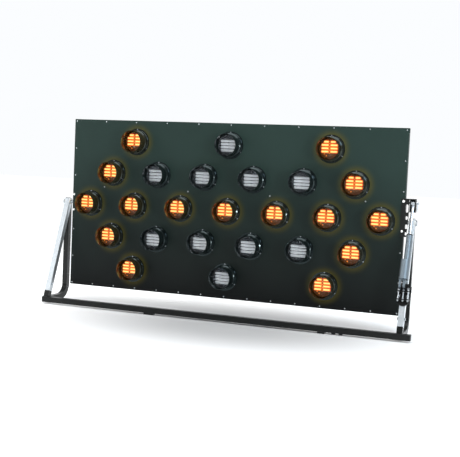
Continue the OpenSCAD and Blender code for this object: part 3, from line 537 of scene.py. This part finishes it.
# ---- lamp inserts ---------------------------------------------------------------------
# Behind each lens is a round board with two columns of four light bars. Each bar is a
# clear rod lens over a line of small chips; the lit ones are yellow-white at the crown.
# The bars sit above the lamp's middle, and the top pair is cut short by the round board.
board_radius = 0.067
bar_half = 0.0066
bar_gap = 0.0050
bar_rise = 0.005
bar_corner = 0.0045
longest_bar, rim_gap = 0.050, 0.001
bar_heights = (0.046, 0.0245, 0.003, -0.0185)
board_face = face_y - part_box("amber_led_boards")[0].y - bar_rise
board_sides, chip_sides = 48, 16
# The board's rolled rim, from its edge inwards: change of radius, and height.
rim = [(0.0, -0.002), (0.0, 0.0010), (-0.0015, 0.0016), (-0.0030, 0.0010), (-0.0035, 0.0)]
# A chip's dome, from the board up: radius, height and glow.
chip_dome = [(0.0034, 0.0003, 0.3), (0.0026, 0.0023, 0.6)]
chip_crown = 0.0030
chip_drop = 0.0107
lone_chips = [(-0.034, -0.034), (-0.020, -0.046)]
# Each ring of a bar, from the board up: growth, height and glow. In a lit lamp the first ring lies
# almost flat on the board, wider than the bar, and glows dark red: painted light spilled round the
# bar.
levels = [(0.0046, 0.0002, 0.0), (0.0, 0.0004, 0.30), (0.0, 0.0035, 0.42), (-0.0016, 0.0052, 0.75),
          (-0.0034, 0.0060, 1.0)]


def rounded_bar(half_width, half_height, corner):
    """Points round a bar with round corners, as x and z."""
    corner = min(corner, half_height * 0.98)
    ring = []
    for sx, sz, start in ((1, 1, 0), (-1, 1, 90), (-1, -1, 180), (1, -1, 270)):
        for k in range(5):
            a = math.radians(start + 22.5 * k)
            ring.append((sx * (half_width - corner) + corner * math.cos(a),
                         sz * (half_height - corner) + corner * math.sin(a)))
    return ring


def lamp_inserts(name, places, board_finish, bar_finish, chip_finish, drop=0.0, half=bar_half,
                 gap=bar_gap):
    """Every lamp's board, bars and chips as one mesh. drop lowers the bars on the board."""
    shape = bmesh.new()
    glow = shape.verts.layers.float.new("glow")

    def point(x, z, height, brightness=0.0):
        made = shape.verts.new((x, face_y - height, z))
        made[glow] = brightness
        return made

    pairs = []
    for bz in bar_heights:
        room = math.sqrt(board_radius ** 2 - (abs(bz - drop) + half) ** 2)
        pairs.append((bz - drop, min(longest_bar, room - gap - rim_gap)))
    for cx, cz in places:
        # The board: a disc with a low rolled rim.
        discs = []
        for change, height in rim:
            radius = board_radius + change
            discs.append([point(cx + radius * math.cos(math.tau * k / board_sides),
                                cz + radius * math.sin(math.tau * k / board_sides),
                                board_face + height) for k in range(board_sides)])
        for r0, r1 in zip(discs, discs[1:]):
            for k in range(board_sides):
                after = (k + 1) % board_sides
                shape.faces.new((r0[k], r1[k], r1[after], r0[after])).smooth = True
        shape.faces.new(discs[0])
        shape.faces.new(discs[-1][::-1])
        for bz, width in pairs:
            for side in (-1, 1):
                bx = cx + side * (width / 2 + gap)
                rings = []
                for grow, height, brightness in levels:
                    outline = rounded_bar(width / 2 - rim_gap + grow, half + grow,
                                          bar_corner + grow)
                    rings.append([point(bx + x, cz + bz + z, board_face + height, brightness)
                                  for x, z in outline])
                for i, (r0, r1) in enumerate(zip(rings, rings[1:])):
                    count = len(r0)
                    for k in range(count):
                        after = (k + 1) % count
                        face = shape.faces.new((r0[k], r1[k], r1[after], r0[after]))
                        face.smooth = i > 0
                        face.material_index = 1
                shape.faces.new(rings[-1][::-1]).material_index = 1
        # Domed chips: a column down the middle, and two at the lower left.
        for chip_x, chip_z in [(0.0, bz - chip_drop) for bz, width in pairs] + lone_chips:
            crown = point(cx + chip_x, cz + chip_z, board_face + chip_crown, 0.9)
            rings = [[point(cx + chip_x + radius * math.cos(math.tau * a / chip_sides),
                            cz + chip_z + radius * math.sin(math.tau * a / chip_sides),
                            board_face + height, brightness) for a in range(chip_sides)]
                     for radius, height, brightness in chip_dome]
            for a in range(chip_sides):
                b = (a + 1) % chip_sides
                for face in (shape.faces.new((rings[0][a], rings[1][a], rings[1][b], rings[0][b])),
                             shape.faces.new((rings[1][a], crown, rings[1][b]))):
                    face.smooth = True
                    face.material_index = 2
    shape.normal_update()
    data = bpy.data.meshes.new(name)
    shape.to_mesh(data)
    shape.free()
    for made in (board_finish, bar_finish, chip_finish):
        data.materials.append(made)
    insert = bpy.data.objects.new(name, data)
    scene.collection.objects.link(insert)
    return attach(insert, "panel")


# Lit boards: the amber light scattered over the solder mask is painted as the board's brown tone
# and its own faint amber glow, and the red-orange close to the bars is painted light on each bar's
# glowing foot.
def glowing(name, ramp, strength, base):
    """A part that shines by itself, coloured along the ramp by the mesh's own glow value."""
    made, tree, shader = new_finish(name)
    level = add(tree, "Attribute", attribute_name="glow", attribute_type="GEOMETRY")
    shades = add(tree, "ValToRGB", {"Fac": level.outputs["Fac"]})
    stops = shades.color_ramp.elements
    stops[0].position, stops[0].color = ramp[0][0], linear(ramp[0][1])
    stops[1].position, stops[1].color = ramp[-1][0], linear(ramp[-1][1])
    for position, colour in ramp[1:-1]:
        stops.new(position).color = linear(colour)
    tree.links.new(shades.outputs["Color"], shader.inputs["Emission Color"])
    shader.inputs["Emission Strength"].default_value = strength
    shader.inputs["Base Color"].default_value = linear(base)
    shader.inputs["Roughness"].default_value = 0.3
    return made


lit_bar = glowing("lit_amber_rod_lens", [(0.0, "#8A2404"), (0.30, "#FF4408"), (0.42, "#FF7A12"),
                                         (0.72, "#FFC850"), (1.0, "#FFF096")], 1.2, "#7A4208")
lit_chip = glowing("lit_amber_chip", [(0.0, "#E0400C"), (1.0, "#FFB040")], 1.0, "#C8600A")
lit_board, lit_tree, lit_shader = new_finish("amber_lit_circuit_board")
lit_tone = add(lit_tree, "MixRGB", {"Fac": grit(lit_tree, 5, 3).outputs["Fac"],
                                    "Color1": linear("#1E1606"), "Color2": linear("#2E2309")})
lit_tree.links.new(lit_tone.outputs["Color"], lit_shader.inputs["Base Color"])
# Painted glow: the board shines faintly amber by itself.
lit_shader.inputs["Emission Color"].default_value = linear("#8A3404")
lit_shader.inputs["Emission Strength"].default_value = 0.10
lit_shader.inputs["Roughness"].default_value = 0.4
lit = lamp_inserts("lit_lamp_inserts", lit_lamps, lit_board, lit_bar, lit_chip)
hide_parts("amber_led_boards")

# Unlit boards: frosted white rod lenses over a metallised board, darkened as painted shade. The
# strips sit lower than in the lit lamps, so the dark board above and between them stands for the
# visor's shadow over the top of the lens and the dark lines between the strips.
frosted_rod, rod_tree, rod_shader = new_finish("frosted_rod_lens")
rod_tone = add(rod_tree, "MixRGB", {"Fac": grit(rod_tree, 7, 3).outputs["Fac"],
                                    "Color1": linear("#DCE6EE"), "Color2": linear("#FFFFFF")})
rod_tree.links.new(rod_tone.outputs["Color"], rod_shader.inputs["Base Color"])
rod_shader.inputs["Metallic"].default_value = 0.25
rod_shader.inputs["Roughness"].default_value = 0.2
rod_shader.inputs["Specular IOR Level"].default_value = 0.8
dark_shade_reflector = metal_finish("metallised_reflector", "#23282D", "#07090A", 0.26, 9.0, bump=0.3)
black_chip, chip_tree, chip_shader = new_finish("black_epoxy_chip")
chip_tone = add(chip_tree, "MixRGB", {"Fac": grit(chip_tree, 2, 2).outputs["Fac"],
                                      "Color1": linear("#060708"), "Color2": linear("#14171A")})
chip_tree.links.new(chip_tone.outputs["Color"], chip_shader.inputs["Base Color"])
chip_shader.inputs["Roughness"].default_value = 0.2
unlit = lamp_inserts("unlit_lamp_inserts", dark_lamps, dark_shade_reflector, frosted_rod, black_chip,
                     drop=0.018, half=0.0034, gap=0.0015)
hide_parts("clear_led_boards")


# ---- lenses ---------------------------------------------------------------------------
# A thin domed polycarbonate cap closes each lamp, polished inside and out: mostly
# seen through, with one clean highlight. The lit ones are tinted amber.
def polycarbonate(name, light, dark, opacity):
    """Clear plastic between two tints, with a hard polished coat."""
    made, tree, shader = new_finish(name)
    tone = add(tree, "MixRGB", {"Fac": grit(tree, 30, 2).outputs["Fac"], "Color1": linear(dark),
                                "Color2": linear(light)})
    tree.links.new(tone.outputs["Color"], shader.inputs["Base Color"])
    shader.inputs["Roughness"].default_value = 0.06
    shader.inputs["IOR"].default_value = 1.585
    shader.inputs["Alpha"].default_value = opacity
    shader.inputs["Coat Weight"].default_value = 0.6
    shader.inputs["Coat Roughness"].default_value = 0.04
    return made


dress(["amber_lenses"], polycarbonate("amber_polycarbonate", "#C87A1E", "#A05C10", 0.06))
dress(["clear_lenses"], polycarbonate("clear_polycarbonate", "#DDE4EA", "#C4CCD4", 0.06))

# Each lit lamp's own light, in front of its lens and inside its barrel.
lamp_stand_off = 0.085
lamp_watts = 0.09
for k, (x, z) in enumerate(lit_lamps):
    data = bpy.data.lights.new(f"lamp_light_{k + 1}", "POINT")
    data.energy = lamp_watts
    data.color = linear("#FFB838")[:3]
    data.shadow_soft_size = 0.03
    glow_lamp = bpy.data.objects.new(f"lamp_light_{k + 1}", data)
    scene.collection.objects.link(glow_lamp)
    glow_lamp.location = (x, face_y - lamp_stand_off, z)
    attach(glow_lamp, "panel")


# ---- wiring and flasher box -----------------------------------------------------------
# Behind the panel the wires run in a grey vinyl duct to a sheet-steel box with a screwed
# lid. Both are plain, with the fine lines of extrusion and the texture of their paint.
vinyl, vinyl_tree, vinyl_shader = new_finish("extruded_vinyl")
vinyl_streaks = grit(vinyl_tree, 30, 3, 0.5, (0.1, 1, 1))
vinyl_tone = add(vinyl_tree, "MixRGB", {"Fac": vinyl_streaks.outputs["Fac"],
                                        "Color1": linear("#222424"), "Color2": linear("#323535")})
vinyl_tree.links.new(vinyl_tone.outputs["Color"], vinyl_shader.inputs["Base Color"])
vinyl_shader.inputs["Roughness"].default_value = 0.5
die_lines = grit(vinyl_tree, 3, 2, 0.5, (0.02, 1, 1))
vinyl_lines = add(vinyl_tree, "Bump", {"Height": die_lines.outputs["Fac"], "Strength": 0.15,
                                       "Distance": 0.0004})
vinyl_tree.links.new(vinyl_lines.outputs["Normal"], vinyl_shader.inputs["Normal"])
dress(["cable_ducts"], vinyl)
dress(["control_box", "control_lid"], powder_coat("grey_textured_powder_coat", "#2B2F2F",
                                                  "#3A3F3E", 0.42))


# ---- actuator -------------------------------------------------------------------------
# An electric linear actuator raises the panel. Its tube, motor can and gear cap are
# aluminium, turned and clear anodised: satin, bluish, with fine turning marks round them.
anodised = metal_finish("clear_anodised_aluminium", "#848E95", "#646F77", 0.48, 2.0, (1, 1, 0.15),
                        0.1, 0.08)
dress(["actuator_tube", "motor_can", "gear_cap", "rear_fork"], anodised)

# Hard chrome on the rod: ground and polished, a clean mirror with hairline wipe marks.
dress(["actuator_rod"], metal_finish("ground_hard_chrome", "#F2F4F6", "#DDE1E5", 0.12, 3.0,
                                     (1, 1, 0.04), 0.03, 0.04))
dress(["pin_rollers"], metal_finish("turned_steel", "#9EA3A8", "#6C7176", 0.3, 1.5))
dress(["hairpin_clip"], metal_finish("spring_wire", "#C4C9CE", "#8F959B", 0.28, 2.0))


# ---- size -----------------------------------------------------------------------------
# The finished object's box.
low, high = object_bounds()
